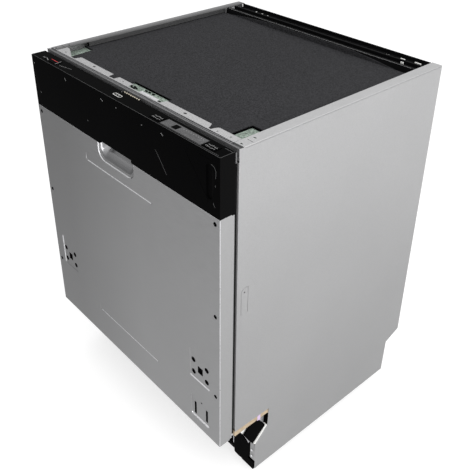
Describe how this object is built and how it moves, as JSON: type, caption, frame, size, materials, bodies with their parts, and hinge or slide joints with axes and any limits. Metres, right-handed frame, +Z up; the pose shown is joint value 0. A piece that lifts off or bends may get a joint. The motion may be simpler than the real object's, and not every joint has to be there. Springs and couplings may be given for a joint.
{
  "type": "built-in dishwasher",
  "caption": "Fully integrated dishwasher with a hinged steel door, black fascia, galvanised cabinet, racks, spray arms and levelling feet.",
  "frame": {"origin": "on the floor, under the centre of the machine's overall box", "axes": "+Z up, -Y towards the user (door), +X to the user's right when facing the door"},
  "size_m": [0.598, 0.58, 0.815],
  "materials": {
    "galvanised": "galvanised sheet, fine spangle, satin",
    "door_steel": "mill-finish steel sheet, satin",
    "stainless": "bright stainless steel",
    "black_plastic": "black moulded plastic, fine grain",
    "fascia_plastic": "black semi-gloss plastic",
    "bitumen_mat": "dark grey bitumen damping mat",
    "felt": "grey-green fibre felt",
    "tan_foam": "tan foam strip",
    "rubber": "soft black rubber",
    "grey_plastic": "grey polypropylene",
    "white_plastic": "white polypropylene",
    "rack_coating": "nylon-coated wire",
    "spring_steel": "spring steel wire",
    "circuit_board": "green solder mask",
    "display": "grey overlay with a black window"
  },
  "bodies": {
    "cabinet": {"side_panel_left": "galvanised", "side_panel_right": "galvanised", "top_front_rail": "galvanised", "top_rear_rail": "black_plastic", "top_mat": "bitumen_mat", "top_insulation": "felt", "back_panel": "galvanised", "tub": "stainless", "tub_gasket": "rubber", "latch_strike": "stainless", "base_tray": "black_plastic", "plinth_panel": "black_plastic", "foam_strip": "tan_foam", "hinge_bracket_left": "galvanised", "hinge_bracket_right": "galvanised", "cord_guide_left": "black_plastic", "cord_guide_right": "black_plastic", "door_spring_left": "spring_steel", "door_spring_right": "spring_steel", "rack_rail_left": "stainless", "rack_rail_right": "stainless", "sump": "grey_plastic", "filter_plate": "stainless", "circulation_pump": "grey_plastic", "drain_pump": "black_plastic", "water_softener": "white_plastic", "inlet_valve": "white_plastic", "mains_inlet": "black_plastic", "spray_riser": "grey_plastic", "ceiling_sprinkler": "grey_plastic"},
    "door": {"outer_door_panel": "door_steel", "handle_pocket": "stainless", "inner_door": "stainless", "fascia": "fascia_plastic", "display_panel": "display", "control_board": "circuit_board", "door_latch": "black_plastic", "dispenser_body": "grey_plastic", "hinge_arm_left": "galvanised", "hinge_arm_right": "galvanised"},
    "upper_rack": {"upper_rack": "rack_coating"},
    "lower_rack": {"lower_rack": "rack_coating", "cutlery_basket": "grey_plastic"},
    "upper_spray_arm": {"upper_spray_arm": "grey_plastic"},
    "lower_spray_arm": {"lower_spray_arm": "grey_plastic"},
    "dispenser_lid": {"dispenser_lid": "grey_plastic"},
    "rinse_aid_cap": {"rinse_aid_cap": "grey_plastic"},
    "salt_cap": {"salt_cap": "grey_plastic"},
    "filter_cup": {"filter_cup": "grey_plastic"},
    "rear_foot_shaft": {"rear_foot_shaft": "spring_steel"},
    "rear_foot": {"rear_foot": "grey_plastic"},
    "front_foot_left": {"front_foot_left": "grey_plastic"},
    "front_foot_right": {"front_foot_right": "grey_plastic"},
    "rack_wheel_front_left": {"rack_wheel_front_left": "grey_plastic"},
    "rack_wheel_rear_left": {"rack_wheel_rear_left": "grey_plastic"},
    "rack_wheel_front_right": {"rack_wheel_front_right": "grey_plastic"},
    "rack_wheel_rear_right": {"rack_wheel_rear_right": "grey_plastic"},
    "power_button": {"power_button": "fascia_plastic"},
    "program_button": {"program_button": "fascia_plastic"},
    "start_button": {"start_button": "fascia_plastic"}
  },
  "joints": [
    {"name": "door_hinge", "type": "hinge", "parent": "cabinet", "child": "door", "pos_m": [0, -0.25, 0.17], "axis": [1, 0, 0], "range_deg": [0, 90]},
    {"name": "upper_rack_slide", "type": "slide", "parent": "cabinet", "child": "upper_rack", "axis": [0, -1, 0], "range_m": [0, 0.01]},
    {"name": "lower_rack_slide", "type": "slide", "parent": "cabinet", "child": "lower_rack", "axis": [0, -1, 0], "range_m": [0, 0.012]},
    {"name": "upper_arm_spin", "type": "hinge", "parent": "upper_rack", "child": "upper_spray_arm", "pos_m": [0, 0, 0.485], "axis": [0, 0, 1], "continuous": true},
    {"name": "lower_arm_spin", "type": "hinge", "parent": "cabinet", "child": "lower_spray_arm", "pos_m": [0, 0, 0.199], "axis": [0, 0, 1], "continuous": true},
    {"name": "dispenser_lid_slide", "type": "slide", "parent": "door", "child": "dispenser_lid", "axis": [-1, 0, 0], "range_m": [0, 0.06]},
    {"name": "rinse_cap_twist", "type": "hinge", "parent": "door", "child": "rinse_aid_cap", "pos_m": [0.04, -0.2293, 0.53], "axis": [0, 1, 0], "range_deg": [0, 90]},
    {"name": "salt_cap_twist", "type": "hinge", "parent": "cabinet", "child": "salt_cap", "pos_m": [-0.145, 0.07, 0.1662], "axis": [0, 0, 1], "range_deg": [0, 90]},
    {"name": "filter_twist", "type": "hinge", "parent": "cabinet", "child": "filter_cup", "pos_m": [0.085, 0, 0.1715], "axis": [0, 0, 1], "range_deg": [0, 90]},
    {"name": "rear_foot_drive", "type": "hinge", "parent": "cabinet", "child": "rear_foot_shaft", "pos_m": [0, 0, 0.045], "axis": [0, 1, 0], "range_deg": [0, 4320]},
    {"name": "rear_foot_lift", "type": "slide", "parent": "cabinet", "child": "rear_foot", "axis": [0, 0, -1], "range_m": [0, 0.045]},
    {"name": "front_foot_left_lift", "type": "slide", "parent": "cabinet", "child": "front_foot_left", "axis": [0, 0, -1], "range_m": [0, 0.045]},
    {"name": "front_foot_right_lift", "type": "slide", "parent": "cabinet", "child": "front_foot_right", "axis": [0, 0, -1], "range_m": [0, 0.045]},
    {"name": "rack_wheel_front_left_spin", "type": "hinge", "parent": "lower_rack", "child": "rack_wheel_front_left", "pos_m": [-0.2445, -0.15, 0.1837], "axis": [1, 0, 0], "range_deg": [0, 45]},
    {"name": "rack_wheel_rear_left_spin", "type": "hinge", "parent": "lower_rack", "child": "rack_wheel_rear_left", "pos_m": [-0.2445, 0.165, 0.1837], "axis": [1, 0, 0], "range_deg": [0, 45]},
    {"name": "rack_wheel_front_right_spin", "type": "hinge", "parent": "lower_rack", "child": "rack_wheel_front_right", "pos_m": [0.2445, -0.15, 0.1837], "axis": [1, 0, 0], "range_deg": [0, 45]},
    {"name": "rack_wheel_rear_right_spin", "type": "hinge", "parent": "lower_rack", "child": "rack_wheel_rear_right", "pos_m": [0.2445, 0.165, 0.1837], "axis": [1, 0, 0], "range_deg": [0, 45]},
    {"name": "power_button_press", "type": "slide", "parent": "door", "child": "power_button", "axis": [0, 0, -1], "range_m": [0, 0.0012], "stiffness_N_per_m": 900, "springref_m": -0.0004},
    {"name": "program_button_press", "type": "slide", "parent": "door", "child": "program_button", "axis": [0, 0, -1], "range_m": [0, 0.0012], "stiffness_N_per_m": 900, "springref_m": -0.0004},
    {"name": "start_button_press", "type": "slide", "parent": "door", "child": "start_button", "axis": [0, 0, -1], "range_m": [0, 0.0012], "stiffness_N_per_m": 900, "springref_m": -0.0004}
  ],
  "couplings": [
    {"joint": "rear_foot_lift", "follows": "rear_foot_drive", "m_per_rad": 0.0005955},
    {"joint": "rack_wheel_front_left_spin", "follows": "lower_rack_slide", "rad_per_m": 58.824},
    {"joint": "rack_wheel_rear_left_spin", "follows": "lower_rack_slide", "rad_per_m": 58.824},
    {"joint": "rack_wheel_front_right_spin", "follows": "lower_rack_slide", "rad_per_m": 58.824},
    {"joint": "rack_wheel_rear_right_spin", "follows": "lower_rack_slide", "rad_per_m": 58.824}
  ]
}
